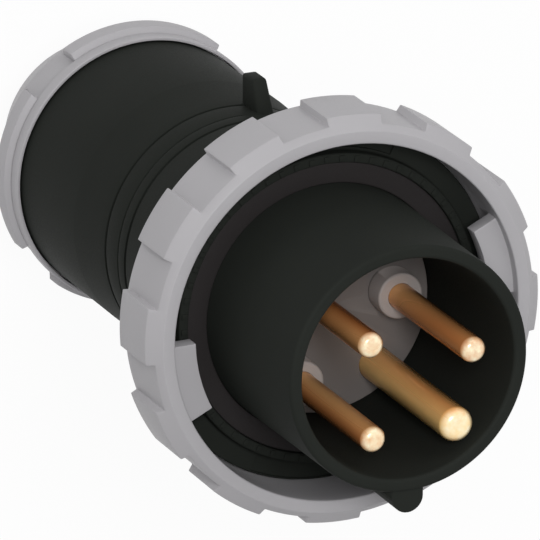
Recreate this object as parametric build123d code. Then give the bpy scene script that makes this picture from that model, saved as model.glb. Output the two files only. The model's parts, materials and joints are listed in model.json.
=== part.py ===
from build123d import *
import os
from math import atan2, cos, degrees, radians, sin

# A watertight industrial plug with three line pins and an earth pin, in millimetres.
# Every piece is drawn with the plug's axis along Y, its mating face towards -Y, its key
# rib towards -Z and the origin on the axis in the plane of the sleeve's rim. It is saved
# standing on the gland nut's end: the mating face looks up and the key rib points to -Y.

# Clearances
RUN_GAP = 0.35            # between pieces that move on each other
SEAT_GAP = 0.1            # round pieces that are pushed into a bore
OVERLAP = 1.0             # how far cutting and joining shapes run past a face

# Sleeve and its key rib
SLEEVE_RADIUS = 28.5      # at the rim
SLEEVE_DRAFT = 0.6        # radius gained from the rim to the root
SLEEVE_WALL = 3.1         # at the rim
RIM_ROUND = 1.1
CAVITY_DEPTH = 46.0       # from the rim to the insert's face
KEY_WIDTH = 7.4
KEY_HEIGHT = 5.1          # of its rounded crest over the sleeve at the rim
KEY_SETBACK = 0.6

# Flange behind the sleeve, with the rim that holds the face gasket
FLANGE_THICKNESS = 2.3
FACE_INSET = 0.5          # the flange's front lies this far behind the insert's face
GASKET_WIDTH = 5.0
SEAL_RIM_WALL = 2.2
SEAL_RIM_HEIGHT = 3.0
GASKET_THICKNESS = 2.2
STEP_DEPTH = 0.8          # the two shallow steps outside the seal rim
STEP_SPAN = 60.0          # degrees
STEP_CENTRES = (94.0, 274.0)
SNAP_HEIGHT = 1.0         # the rib that keeps the ring from sliding back
SNAP_WIDTH = 1.8

# Body
BODY_WALL = 3.4
SHOULDER_STEP = 1.8       # of the inner shoulder that the insert is pressed against
SHOULDER_INSET = 4.0      # from the insert's face to that shoulder
BODY_LENGTH = 43.7        # front half, behind the flange
BODY_GROOVE_DEPTH = 0.4
BODY_GROOVE_WIDTH = 1.0
FRONT_GROOVE_INSET = 4.6  # from the front half's end

# Locking ring
COLLAR_ROOM = 5.3         # between the seal rim and the ring, for the socket's collar
RING_WALL = 4.4           # between the pads
PAD_HEIGHT = 1.8
PAD_COUNT = 12
PAD_SPAN = 16.0           # degrees
PAD_PHASE = -3.0          # angle of the first pad's centre
PAD_LEAN = 2.0            # how far a pad's front leans back over its height
PAD_ROUND = 0.8
PAD_BACK_ROUND = 0.5
RING_LEAD = 13.5          # from the ring's front to the flange's front
RING_CHAMFER = 1.5
RING_RIM_ROUND = 0.4
LIP_THICKNESS = 2.4
LUG_HEIGHT = 6.0          # inwards from the ring's bore
LUG_THICKNESS = 3.8
LUG_SETBACK = 2.5
LUG_SPAN = 26.0           # degrees
LUG_CENTRES = (14.0, 194.0)
RING_TRAVEL = 45.0        # degrees of turn between the stops
STOP_CENTRE = 305.0
STOP_SPAN = 10.0
STOP_HEIGHT = 2.3
STOP_PLAY = 0.8           # degrees left at each stop

# Contact pins, on a circle whose centre lies a little off the sleeve's axis
PIN_CIRCLE_INSET = 10.2   # from the sleeve's bore to the circle
PIN_CIRCLE_X = 2.2
PIN_CIRCLE_Z = -4.4
EARTH_ANGLE = -47.0
LINE_ANGLES = (24.0, 135.0, -132.0)
LINE_PIN_RADIUS = 3.0
EARTH_PIN_RADIUS = 4.0
LINE_TIP_Y = 0.3
EARTH_TIP_Y = 1.0
LINE_TIP_ROUND = 1.9
EARTH_TIP_ROUND = 2.4
SHANK_STEP = 0.3          # a pin's shank in the insert is this much thinner
SHANK_LEAD = 0.2          # and begins this far in front of it

# Contact insert
COLLAR_RADIUS = 5.4
COLLAR_HEIGHT = 5.8
COLLAR_CHAMFER = 0.5
INSERT_FLANGE = 3.0
INSERT_SEAL_THICKNESS = 1.0

# Terminals
CARRIER_LENGTH = 25.0
LINE_BARREL_RADIUS = 5.2
EARTH_BARREL_RADIUS = 5.7
BARREL_LENGTH = 24.0
LINE_WIRE_RADIUS = 2.9
EARTH_WIRE_RADIUS = 3.3
WIRE_DEPTH = 17.0
CLAMP_SCREW_RADIUS = 2.0
CLAMP_SCREW_INSET = 9.0   # from the barrel's open end
CLAMP_SCREW_STAND = 1.0   # how far the screw stands out of the barrel
SLOT_WIDTH = 0.8
SLOT_DEPTH = 1.0
PLATE_THICKNESS = 0.8
PLATE_WIDTH = 3.0
PLATE_LENGTH = 8.0
CARRIER_SCREW_RADIUS = 2.0
CARRIER_SCREW_HEAD = 3.6
CARRIER_SCREW_HEAD_HEIGHT = 2.4
CARRIER_SCREW_REACH = 5.0 # into the insert

# Rear half of the body
SEAM_GAP = 0.3
SPIGOT_WALL = 3.0
ORING_WIRE = 0.9          # radius of the ring's section
ORING_INSET = 7.2         # from the spigot's end
REAR_SWELL = 0.6          # how much wider the rear body is
REAR_WALL = 3.6
REAR_LENGTH = 59.2        # from the seam to the shoulder under the nut
REAR_GROOVE_INSET = 6.6   # from the seam
FLARE_START = 11.0        # from the seam, where the body begins to widen
FLARE_END = 24.5
FLARE_ROUND = 9.0
CATCH_RISE = 6.8          # over the body
CATCH_LEFT = 4.2
CATCH_RIGHT = 7.8
CATCH_FOOT = 8.4
CATCH_LENGTH = 9.5
CATCH_SLOPE = 3.5         # how far the catch's front leans back at its top
CATCH_ROUND = 0.8
CHAMBER_LEAD = 2.0        # from the rear wall's thickness to the full wiring chamber

# Cable gland
NECK_STEP = 3.2           # from the rear body down to the neck
NECK_WALL = 4.0
NECK_LENGTH = 10.0
GLAND_SEAT_WIDTH = 5.0
GLAND_SEAT_THICKNESS = 3.5
GLAND_SEAT_INSET = 5.0    # from the neck's root forwards
SEAL_LENGTH = 13.5
CABLE_RADIUS = 12.0
WASHER_THICKNESS = 2.3
WASHER_BORE_RADIUS = 14.0
CAGE_LENGTH = 9.5
CAGE_WALL = 1.6
CAGE_INSET = 3.0          # from the neck's bore to the nut's inner cone
CAGE_RIM = 1.0            # straight rim of the cage at its wide end
CAGE_SLOTS = 8
CAGE_SLOT_WIDTH = 1.4

# Gland nut
NUT_SKIRT = 3.0           # how far the nut reaches over the rear body
NUT_WALL = 0.9            # of that skirt, outside its running gap
NUT_LENGTH = 33.0
LOBE_RISE = 2.6           # over the rear body
LOBE_COUNT = 4
LOBE_SPAN = 68.0          # degrees
LOBE_CENTRE = 86.0
LOBE_SETBACK = 2.7
LOBE_LENGTH = 6.5
LOBE_FADE = 2.3           # length over which a lobe falls away
LOBE_LEAN = 1.2           # how far a lobe's front leans back
LOBE_ROUND = 0.8
LOBE_BACK_ROUND = 2.0
NUT_RIM_ROUND = 0.5
NUT_END_ROUND = 2.0
NUT_TAPER = 21.5          # length of the cone at the cable end
NUT_END_INSET = 9.0       # how much narrower than the rear body the nut ends
NUT_THREAD_GAP = 0.4
CABLE_ENTRY_RADIUS = 15.0

# Stations along the axis
SLEEVE_BORE_RADIUS = SLEEVE_RADIUS - SLEEVE_WALL
ROOT_RADIUS = SLEEVE_RADIUS + SLEEVE_DRAFT
KEY_TIP_RADIUS = SLEEVE_RADIUS + KEY_HEIGHT
FLANGE_FRONT_Y = CAVITY_DEPTH + FACE_INSET
FLANGE_BACK_Y = FLANGE_FRONT_Y + FLANGE_THICKNESS
GASKET_RADIUS = ROOT_RADIUS + GASKET_WIDTH
SEAL_RIM_RADIUS = GASKET_RADIUS + SEAL_RIM_WALL
RING_BORE_RADIUS = SEAL_RIM_RADIUS + COLLAR_ROOM
RING_RADIUS = RING_BORE_RADIUS + RING_WALL
PAD_RADIUS = RING_RADIUS + PAD_HEIGHT
LUG_BORE_RADIUS = RING_BORE_RADIUS - LUG_HEIGHT
FLANGE_RADIUS = RING_BORE_RADIUS - RUN_GAP
PIN_CIRCLE_RADIUS = SLEEVE_BORE_RADIUS - PIN_CIRCLE_INSET
BODY_BORE_RADIUS = SLEEVE_BORE_RADIUS + SHOULDER_STEP
BODY_RADIUS = BODY_BORE_RADIUS + BODY_WALL
REAR_RADIUS = BODY_RADIUS + REAR_SWELL
NECK_RADIUS = REAR_RADIUS - NECK_STEP
GLAND_BORE_RADIUS = NECK_RADIUS - NECK_WALL
GLAND_SEAT_RADIUS = GLAND_BORE_RADIUS - GLAND_SEAT_WIDTH
CATCH_HEIGHT = BODY_RADIUS + CATCH_RISE
LOBE_RADIUS = REAR_RADIUS + LOBE_RISE
NUT_END_RADIUS = REAR_RADIUS - NUT_END_INSET
SHOULDER_Y = CAVITY_DEPTH + SHOULDER_INSET
SEAM_Y = FLANGE_BACK_Y + BODY_LENGTH
RING_FRONT_Y = FLANGE_FRONT_Y - RING_LEAD
LIP_FRONT_Y = FLANGE_BACK_Y + RUN_GAP
RING_BACK_Y = LIP_FRONT_Y + LIP_THICKNESS
INSERT_FLANGE_Y = SHOULDER_Y + INSERT_SEAL_THICKNESS
INSERT_BACK_Y = INSERT_FLANGE_Y + INSERT_FLANGE
CARRIER_BACK_Y = INSERT_BACK_Y + CARRIER_LENGTH
BARREL_BACK_Y = INSERT_BACK_Y + BARREL_LENGTH
REAR_START_Y = SEAM_Y + SEAM_GAP
SPIGOT_START_Y = CARRIER_BACK_Y + SEAT_GAP
ORING_Y = SPIGOT_START_Y + ORING_INSET
NUT_SEAT_Y = REAR_START_Y + REAR_LENGTH
NECK_END_Y = NUT_SEAT_Y + NECK_LENGTH
GLAND_SEAT_Y = NUT_SEAT_Y - GLAND_SEAT_INSET
SEAL_BACK_Y = GLAND_SEAT_Y + SEAL_LENGTH
WASHER_BACK_Y = SEAL_BACK_Y + WASHER_THICKNESS
NUT_FRONT_Y = NUT_SEAT_Y - NUT_SKIRT
NUT_BACK_Y = NUT_FRONT_Y + NUT_LENGTH


def turned(outline, rounds=(), arc=360.0):
    """Turn an outline of (radius, y) points about the axis, with some corners rounded."""
    face = make_face(Polyline(*outline, close=True))
    for point, radius in rounds:
        corner = face.vertices().sort_by_distance(Vector(*point))[0]
        face = fillet(corner, radius)
    return revolve(face, Axis.Y, arc)


def at_angle(piece, angle):
    """Turn a piece from +X to an angle, counted from +X towards +Z."""
    return Rot(0, -angle, 0) * piece


def sector(outline, centre, span, rounds=()):
    """Part of a turned piece, span degrees wide about the angle of its centre."""
    return at_angle(turned(outline, rounds, span), centre + span / 2)


def rod(radius, start, end, x=0.0, z=0.0):
    """A round bar along the axis from one station to another."""
    length = end - start
    return Pos(x, (start + end) / 2, z) * Rot(90, 0, 0) * Cylinder(radius, length)


def slab(x_range, y_range, z_range):
    """A block between two limits on each axis."""
    centre = [(low + high) / 2 for low, high in (x_range, y_range, z_range)]
    size = [high - low for low, high in (x_range, y_range, z_range)]
    return Pos(*centre) * Box(*size)


def pin_place(angle):
    """The place of a contact on the pin circle."""
    x = PIN_CIRCLE_X + PIN_CIRCLE_RADIUS * cos(radians(angle))
    z = PIN_CIRCLE_Z + PIN_CIRCLE_RADIUS * sin(radians(angle))
    return x, z


def contacts():
    """Each contact's name, place, pin radius, barrel radius and wire hole radius."""
    x, z = pin_place(EARTH_ANGLE)
    yield "earth", "", x, z, EARTH_PIN_RADIUS, EARTH_BARREL_RADIUS, EARTH_WIRE_RADIUS
    for number, angle in enumerate(LINE_ANGLES, start=1):
        x, z = pin_place(angle)
        yield "line", f"_{number}", x, z, LINE_PIN_RADIUS, LINE_BARREL_RADIUS, LINE_WIRE_RADIUS


def key_rib():
    """The rib under the sleeve, rounded at its crest."""
    half = KEY_WIDTH / 2
    back = FLANGE_FRONT_Y - SEAL_RIM_HEIGHT
    centre_z = -(KEY_TIP_RADIUS - half)
    inside = -(SLEEVE_RADIUS - SLEEVE_WALL / 2)
    web = slab((-half, half), (KEY_SETBACK, back), (centre_z, inside))
    crest = rod(half, KEY_SETBACK, back, 0, centre_z)
    return web + crest


def front_housing():
    """Sleeve, key, flange, seal rim and the front half of the body."""
    groove_y = SEAM_Y - FRONT_GROOVE_INSET
    groove_r = BODY_RADIUS - BODY_GROOVE_DEPTH
    snap_y = RING_BACK_Y + RUN_GAP
    rim_inner = GASKET_RADIUS
    rim_top = FLANGE_FRONT_Y - SEAL_RIM_HEIGHT
    outline = [
        (SLEEVE_BORE_RADIUS, 0), (SLEEVE_RADIUS, 0), (ROOT_RADIUS, FLANGE_FRONT_Y),
        (rim_inner, FLANGE_FRONT_Y), (rim_inner, rim_top), (SEAL_RIM_RADIUS, rim_top),
        (SEAL_RIM_RADIUS, FLANGE_FRONT_Y), (FLANGE_RADIUS, FLANGE_FRONT_Y),
        (FLANGE_RADIUS, FLANGE_BACK_Y), (BODY_RADIUS, FLANGE_BACK_Y),
        (BODY_RADIUS, snap_y), (BODY_RADIUS + SNAP_HEIGHT, snap_y),
        (BODY_RADIUS + SNAP_HEIGHT / 2, snap_y + SNAP_WIDTH), (BODY_RADIUS, snap_y + SNAP_WIDTH),
        (BODY_RADIUS, groove_y), (groove_r, groove_y), (groove_r, groove_y + BODY_GROOVE_WIDTH),
        (BODY_RADIUS, groove_y + BODY_GROOVE_WIDTH), (BODY_RADIUS, SEAM_Y),
        (BODY_BORE_RADIUS, SEAM_Y), (BODY_BORE_RADIUS, SHOULDER_Y), (SLEEVE_BORE_RADIUS, SHOULDER_Y),
    ]
    rounds = [((SLEEVE_BORE_RADIUS, 0), RIM_ROUND), ((SLEEVE_RADIUS, 0), RIM_ROUND),
              ((SEAL_RIM_RADIUS, rim_top), SEAL_RIM_WALL / 3)]
    shell = turned(outline, rounds) + key_rib()
    step_front, step_back = FLANGE_FRONT_Y - OVERLAP, FLANGE_FRONT_Y + STEP_DEPTH
    step_outer = FLANGE_RADIUS + OVERLAP
    step = [(SEAL_RIM_RADIUS, step_front), (step_outer, step_front), (step_outer, step_back),
            (SEAL_RIM_RADIUS, step_back)]
    for centre in STEP_CENTRES:
        shell -= sector(step, centre, STEP_SPAN)
    stop_inner, stop_outer = BODY_RADIUS - OVERLAP, BODY_RADIUS + STOP_HEIGHT
    stop_back = RING_BACK_Y - RUN_GAP
    stop = [(stop_inner, LIP_FRONT_Y), (stop_outer, LIP_FRONT_Y), (stop_outer, stop_back), (stop_inner, stop_back)]
    return shell + sector(stop, STOP_CENTRE, STOP_SPAN)


def face_gasket():
    """The flat rubber ring between the sleeve's root and the seal rim."""
    inner, outer = ROOT_RADIUS + SEAT_GAP, GASKET_RADIUS - SEAT_GAP
    front = FLANGE_FRONT_Y - GASKET_THICKNESS
    return turned([(inner, front), (outer, front), (outer, FLANGE_FRONT_Y), (inner, FLANGE_FRONT_Y)])


def locking_ring():
    """The bayonet ring: pads outside, two lugs inside, and the lip behind the flange."""
    lip_radius = BODY_RADIUS + RUN_GAP
    chamfer_r = RING_RADIUS - RING_CHAMFER
    outline = [
        (RING_BORE_RADIUS, RING_FRONT_Y), (chamfer_r, RING_FRONT_Y),
        (RING_RADIUS, RING_FRONT_Y + RING_CHAMFER), (RING_RADIUS, RING_BACK_Y),
        (lip_radius, RING_BACK_Y), (lip_radius, LIP_FRONT_Y), (RING_BORE_RADIUS, LIP_FRONT_Y),
    ]
    ring = turned(outline, [((RING_BORE_RADIUS, RING_FRONT_Y), RING_RIM_ROUND)])
    pad_inner = RING_RADIUS - OVERLAP
    pad_front = RING_FRONT_Y + RING_CHAMFER / 2
    pad_back = RING_BACK_Y - RING_CHAMFER / 2
    crest = (PAD_RADIUS, pad_front + PAD_LEAN)
    pad = [(pad_inner, pad_front), crest, (PAD_RADIUS, pad_back), (pad_inner, pad_back)]
    rounds = [(crest, PAD_ROUND), ((PAD_RADIUS, pad_back), PAD_BACK_ROUND)]
    for number in range(PAD_COUNT):
        ring += sector(pad, PAD_PHASE + number * 360 / PAD_COUNT, PAD_SPAN, rounds)
    lug_front = RING_FRONT_Y + LUG_SETBACK
    lug_outer = RING_BORE_RADIUS + OVERLAP
    lug = [(LUG_BORE_RADIUS, lug_front), (lug_outer, lug_front),
           (lug_outer, lug_front + LUG_THICKNESS), (LUG_BORE_RADIUS, lug_front + LUG_THICKNESS)]
    for centre in LUG_CENTRES:
        ring += sector(lug, centre, LUG_SPAN)
    slot_radius = BODY_RADIUS + STOP_HEIGHT + RUN_GAP
    slot_front, slot_back = LIP_FRONT_Y - OVERLAP, RING_BACK_Y + OVERLAP
    slot_inner = lip_radius - OVERLAP
    slot = [(slot_inner, slot_front), (slot_radius, slot_front), (slot_radius, slot_back), (slot_inner, slot_back)]
    slot_span = STOP_SPAN + RING_TRAVEL + 2 * STOP_PLAY
    return ring - sector(slot, STOP_CENTRE - RING_TRAVEL / 2, slot_span)


def contact_insert():
    """The disc at the bottom of the sleeve, with a collar round each line pin."""
    face_radius = SLEEVE_BORE_RADIUS - SEAT_GAP
    flange_radius = BODY_BORE_RADIUS - SEAT_GAP
    disc = turned([(0, CAVITY_DEPTH), (face_radius, CAVITY_DEPTH), (face_radius, INSERT_FLANGE_Y),
                   (flange_radius, INSERT_FLANGE_Y), (flange_radius, INSERT_BACK_Y), (0, INSERT_BACK_Y)])
    top = CAVITY_DEPTH - COLLAR_HEIGHT
    for kind, _, x, z, _, _, _ in contacts():
        if kind == "line":
            collar = rod(COLLAR_RADIUS, top, CAVITY_DEPTH + OVERLAP, x, z)
            crown = collar.edges().filter_by(GeomType.CIRCLE).sort_by(Axis.Y)[0]
            disc += chamfer(crown, COLLAR_CHAMFER)
    for _, _, x, z, pin, _, _ in contacts():
        disc -= rod(pin - SHANK_STEP + SEAT_GAP / 2, top - OVERLAP, INSERT_BACK_Y + OVERLAP, x, z)
    reach = INSERT_BACK_Y - CARRIER_SCREW_REACH
    hole = rod(CARRIER_SCREW_RADIUS + SEAT_GAP / 2, reach, INSERT_BACK_Y + OVERLAP, PIN_CIRCLE_X, PIN_CIRCLE_Z)
    return disc - hole


def insert_seal():
    """The rubber ring that the insert's flange presses on the housing's shoulder."""
    inner = SLEEVE_BORE_RADIUS + SEAT_GAP
    outer = BODY_BORE_RADIUS - SEAT_GAP
    back = SHOULDER_Y + INSERT_SEAL_THICKNESS
    return turned([(inner, SHOULDER_Y), (outer, SHOULDER_Y), (outer, back), (inner, back)])


def screw_height(barrel):
    """How far a clamping screw's outer end stands from its contact's centre line."""
    return barrel + CLAMP_SCREW_STAND


def radial(piece, x, z):
    """Lay a piece built along +X out from the axis, through the contact at x, z."""
    station = BARREL_BACK_Y - CLAMP_SCREW_INSET
    return Pos(x, station, z) * Rot(0, -degrees(atan2(z, x)), 0) * piece


def cross_bar(radius, start, end):
    """A round bar along +X."""
    return Pos((start + end) / 2, 0, 0) * Rot(0, 90, 0) * Cylinder(radius, end - start)


def contact_pin(x, z, pin, barrel, wire, tip_y, tip_round, foot_y):
    """A brass pin with a rounded tip, a thinner shank and a drilled terminal barrel."""
    shank_y = foot_y - SHANK_LEAD
    shaft = rod(pin, tip_y, shank_y, x, z)
    tip = shaft.edges().filter_by(GeomType.CIRCLE).sort_by(Axis.Y)[0]
    shaft = fillet(tip, tip_round) + rod(pin - SHANK_STEP, shank_y - OVERLAP, INSERT_BACK_Y + OVERLAP, x, z)
    body = shaft + rod(barrel, INSERT_BACK_Y, BARREL_BACK_Y, x, z)
    body -= rod(wire, BARREL_BACK_Y - WIRE_DEPTH, BARREL_BACK_Y + OVERLAP, x, z)
    return body - radial(cross_bar(CLAMP_SCREW_RADIUS + SEAT_GAP / 2, 0, barrel + OVERLAP), x, z)


def plate_top(wire):
    """Height at which a plate of its width just fits under the wire hole's roof."""
    half = PLATE_WIDTH / 2 + SEAT_GAP
    return (wire ** 2 - half ** 2) ** 0.5 - SEAT_GAP


def terminal_screw(x, z, barrel, wire):
    """A slotted clamping screw."""
    end = screw_height(barrel)
    screw = cross_bar(CLAMP_SCREW_RADIUS, plate_top(wire), end)
    slot = Pos(end, 0, 0) * Box(2 * SLOT_DEPTH, SLOT_WIDTH, 3 * CLAMP_SCREW_RADIUS)
    return radial(screw - slot, x, z)


def pressure_plate(x, z, wire):
    """The plate that a clamping screw presses on the wire."""
    top = plate_top(wire)
    plate = Pos(top - PLATE_THICKNESS / 2, 0, 0) * Box(PLATE_THICKNESS, PLATE_LENGTH, PLATE_WIDTH)
    return radial(plate, x, z)


def terminal_carrier():
    """The block behind the insert, with a pocket and a screw hole for each terminal."""
    block_radius = BODY_BORE_RADIUS - 2 * SEAT_GAP
    block = rod(block_radius, INSERT_BACK_Y, CARRIER_BACK_Y)
    for _, _, x, z, _, barrel, _ in contacts():
        block -= rod(barrel + SEAT_GAP, INSERT_BACK_Y - OVERLAP, CARRIER_BACK_Y + OVERLAP, x, z)
        block -= radial(cross_bar(CLAMP_SCREW_RADIUS + 3 * SEAT_GAP, 0, 2 * block_radius), x, z)
    head_y = CARRIER_BACK_Y - CARRIER_SCREW_HEAD_HEIGHT
    hole = rod(CARRIER_SCREW_RADIUS + SEAT_GAP, INSERT_BACK_Y - OVERLAP, CARRIER_BACK_Y)
    hole += rod(CARRIER_SCREW_HEAD + SEAT_GAP, head_y, CARRIER_BACK_Y + OVERLAP)
    return block - Pos(PIN_CIRCLE_X, 0, PIN_CIRCLE_Z) * hole


def carrier_screw():
    """The screw through the middle of the carrier into the insert."""
    head_y = CARRIER_BACK_Y - CARRIER_SCREW_HEAD_HEIGHT
    tip = INSERT_BACK_Y - CARRIER_SCREW_REACH + SEAT_GAP
    screw = rod(CARRIER_SCREW_RADIUS, tip, head_y + OVERLAP) + rod(CARRIER_SCREW_HEAD, head_y, CARRIER_BACK_Y)
    reach = CARRIER_SCREW_HEAD + OVERLAP
    slot = slab((-reach, reach), (CARRIER_BACK_Y - SLOT_DEPTH, CARRIER_BACK_Y + OVERLAP), (-SLOT_WIDTH / 2, SLOT_WIDTH / 2))
    return Pos(PIN_CIRCLE_X, 0, PIN_CIRCLE_Z) * (screw - slot)


def catch():
    """The small catch on top of the rear body, its front face leaning back."""
    foot_z = BODY_RADIUS - BODY_WALL / 2
    start = REAR_START_Y
    section = make_face(Polyline((CATCH_LEFT, foot_z), (CATCH_LEFT, CATCH_HEIGHT), (CATCH_RIGHT, CATCH_HEIGHT),
                                 (CATCH_FOOT, foot_z), close=True))
    block = extrude(Plane(origin=(0, start, 0), x_dir=(1, 0, 0), z_dir=(0, -1, 0)) * section, -CATCH_LENGTH)
    before, above = start - OVERLAP, CATCH_HEIGHT + OVERLAP
    lean = make_face(Polyline((before, BODY_RADIUS), (start, BODY_RADIUS), (start + CATCH_SLOPE, CATCH_HEIGHT),
                              (start + CATCH_SLOPE, above), (before, above), close=True))
    cut = extrude(Plane(origin=(CATCH_LEFT - OVERLAP, 0, 0), x_dir=(0, 1, 0), z_dir=(1, 0, 0)) * lean,
                  CATCH_FOOT - CATCH_LEFT + 2 * OVERLAP)
    block -= cut
    crown = block.edges().filter_by(Axis.Y).group_by(Axis.Z)[-1]
    return fillet(crown, CATCH_ROUND)


def rear_housing():
    """The rear half of the body, from its spigot to the neck under the nut."""
    spigot = BODY_BORE_RADIUS - SEAT_GAP
    spigot_bore = spigot - SPIGOT_WALL
    groove_r = spigot - 2 * ORING_WIRE
    groove_half = ORING_WIRE + SEAT_GAP
    band_y = REAR_START_Y + REAR_GROOVE_INSET
    band_r = BODY_RADIUS - BODY_GROOVE_DEPTH
    bore = REAR_RADIUS - REAR_WALL
    seat_front = GLAND_SEAT_Y - GLAND_SEAT_THICKNESS
    outline = [
        (spigot_bore, SPIGOT_START_Y), (spigot, SPIGOT_START_Y),
        (spigot, ORING_Y - groove_half), (groove_r, ORING_Y - groove_half),
        (groove_r, ORING_Y + groove_half), (spigot, ORING_Y + groove_half),
        (spigot, REAR_START_Y), (BODY_RADIUS, REAR_START_Y),
        (BODY_RADIUS, band_y), (band_r, band_y), (band_r, band_y + BODY_GROOVE_WIDTH),
        (BODY_RADIUS, band_y + BODY_GROOVE_WIDTH), (BODY_RADIUS, REAR_START_Y + FLARE_START),
        (REAR_RADIUS, REAR_START_Y + FLARE_END), (REAR_RADIUS, NUT_SEAT_Y),
        (NECK_RADIUS, NUT_SEAT_Y), (NECK_RADIUS, NECK_END_Y), (GLAND_BORE_RADIUS, NECK_END_Y),
        (GLAND_BORE_RADIUS, GLAND_SEAT_Y), (GLAND_SEAT_RADIUS, GLAND_SEAT_Y), (GLAND_SEAT_RADIUS, seat_front),
        (bore, seat_front - (bore - GLAND_SEAT_RADIUS)), (bore, REAR_START_Y + REAR_WALL + CHAMBER_LEAD),
        (spigot_bore, REAR_START_Y),
    ]
    return turned(outline, [((REAR_RADIUS, REAR_START_Y + FLARE_END), FLARE_ROUND)]) + catch()


def housing_oring():
    """The seal in the spigot's groove."""
    centre = BODY_BORE_RADIUS - SEAT_GAP / 2 - ORING_WIRE
    return Pos(0, ORING_Y, 0) * Rot(90, 0, 0) * Torus(centre, ORING_WIRE - SEAT_GAP / 4)


def gland_seal():
    """The rubber sleeve that the nut presses round the cable."""
    outer = GLAND_BORE_RADIUS - SEAT_GAP
    return turned([(CABLE_RADIUS, GLAND_SEAT_Y), (outer, GLAND_SEAT_Y), (outer, SEAL_BACK_Y),
                   (CABLE_RADIUS, SEAL_BACK_Y)])


def gland_washer():
    """The thrust washer, which slides along the neck's bore with the nut."""
    outer = GLAND_BORE_RADIUS - RUN_GAP
    front = SEAL_BACK_Y + RUN_GAP
    return turned([(WASHER_BORE_RADIUS, front), (outer, front), (outer, WASHER_BACK_Y),
                   (WASHER_BORE_RADIUS, WASHER_BACK_Y)])


def cone_start_radius():
    """Radius of the nut's inner cone at its wide end."""
    return GLAND_BORE_RADIUS - CAGE_INSET


def clamp_cage():
    """The slotted cage behind the washer, inside the nut's cone."""
    wide = cone_start_radius() - 2 * RUN_GAP
    narrow = CABLE_ENTRY_RADIUS + CAGE_WALL / 2
    back = WASHER_BACK_Y + CAGE_LENGTH
    rim_back = WASHER_BACK_Y + CAGE_RIM
    cage = turned([(wide - CAGE_WALL * 2, WASHER_BACK_Y), (wide, WASHER_BACK_Y), (wide, rim_back),
                   (narrow, back), (narrow - CAGE_WALL, back)])
    for number in range(CAGE_SLOTS):
        slot = slab((0, wide + OVERLAP), (rim_back + CAGE_RIM, back + OVERLAP), (-CAGE_SLOT_WIDTH / 2, CAGE_SLOT_WIDTH / 2))
        cage -= at_angle(slot, number * 360 / CAGE_SLOTS)
    return cage


def gland_nut():
    """The nut at the cable end, with four grip lobes."""
    skirt_bore = REAR_RADIUS + RUN_GAP
    skirt = skirt_bore + NUT_WALL
    thread_bore = NECK_RADIUS + NUT_THREAD_GAP
    lobe_start = NUT_FRONT_Y + LOBE_SETBACK
    taper_start = NUT_BACK_Y - NUT_TAPER
    skirt_end = NUT_SEAT_Y + RUN_GAP
    push_y = WASHER_BACK_Y + RUN_GAP
    floor_y = max(push_y, NECK_END_Y + RUN_GAP)
    outline = [
        (skirt_bore, NUT_FRONT_Y), (skirt, NUT_FRONT_Y), (skirt, taper_start), (NUT_END_RADIUS, NUT_BACK_Y),
        (CABLE_ENTRY_RADIUS, NUT_BACK_Y), (CABLE_ENTRY_RADIUS + CAGE_WALL, WASHER_BACK_Y + CAGE_LENGTH + RUN_GAP),
        (cone_start_radius(), floor_y), (thread_bore, floor_y), (thread_bore, skirt_end), (skirt_bore, skirt_end),
    ]
    nut = turned(outline, [((skirt, NUT_FRONT_Y), NUT_RIM_ROUND), ((NUT_END_RADIUS, NUT_BACK_Y), NUT_END_ROUND)])
    base = skirt - NUT_WALL / 2
    front_crest = (LOBE_RADIUS, lobe_start + LOBE_LEAN)
    back_crest = (LOBE_RADIUS, lobe_start + LOBE_LENGTH)
    lobe = [(base, lobe_start), (skirt, lobe_start), front_crest, back_crest, (base, lobe_start + LOBE_LENGTH + LOBE_FADE)]
    rounds = [(front_crest, LOBE_ROUND), (back_crest, LOBE_BACK_ROUND)]
    for number in range(LOBE_COUNT):
        nut += sector(lobe, LOBE_CENTRE + number * 360 / LOBE_COUNT, LOBE_SPAN, rounds)
    return nut


def pieces():
    """Every piece with its node name."""
    yield "front_housing", front_housing()
    yield "face_gasket", face_gasket()
    yield "locking_ring", locking_ring()
    yield "contact_insert", contact_insert()
    yield "insert_seal", insert_seal()
    yield "terminal_carrier", terminal_carrier()
    yield "carrier_screw", carrier_screw()
    for kind, suffix, x, z, pin, barrel, wire in contacts():
        tip_y = EARTH_TIP_Y if kind == "earth" else LINE_TIP_Y
        tip_round = EARTH_TIP_ROUND if kind == "earth" else LINE_TIP_ROUND
        foot_y = CAVITY_DEPTH if kind == "earth" else CAVITY_DEPTH - COLLAR_HEIGHT
        yield f"{kind}_pin{suffix}", contact_pin(x, z, pin, barrel, wire, tip_y, tip_round, foot_y)
        yield f"{kind}_terminal_screw{suffix}", terminal_screw(x, z, barrel, wire)
        yield f"{kind}_pressure_plate{suffix}", pressure_plate(x, z, wire)
    yield "rear_housing", rear_housing()
    yield "housing_oring", housing_oring()
    yield "gland_seal", gland_seal()
    yield "gland_washer", gland_washer()
    yield "clamp_cage", clamp_cage()
    yield "gland_nut", gland_nut()


standing = Rot(-90, 0, 0)
os.makedirs("parts", exist_ok=True)
for name, piece in pieces():
    export_step(standing * piece, f"parts/{name}.step")
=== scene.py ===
"""The looks of a watertight industrial plug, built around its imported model.

Each new piece is shaped with the plug's axis along Y, its mating face towards -Y and its
key rib towards -Z, and is then stood on the gland nut's end as the model is: the mating
face looks up. Sizes are written in millimetres and become metres where a piece is made.
"""

import json
import logging
from dataclasses import dataclass
from enum import Enum
from math import atan2, cos, degrees, hypot, pi, radians, sin, tan
from typing import Callable, Sequence

import bmesh
import bpy
from mathutils import Matrix, Vector

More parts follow.
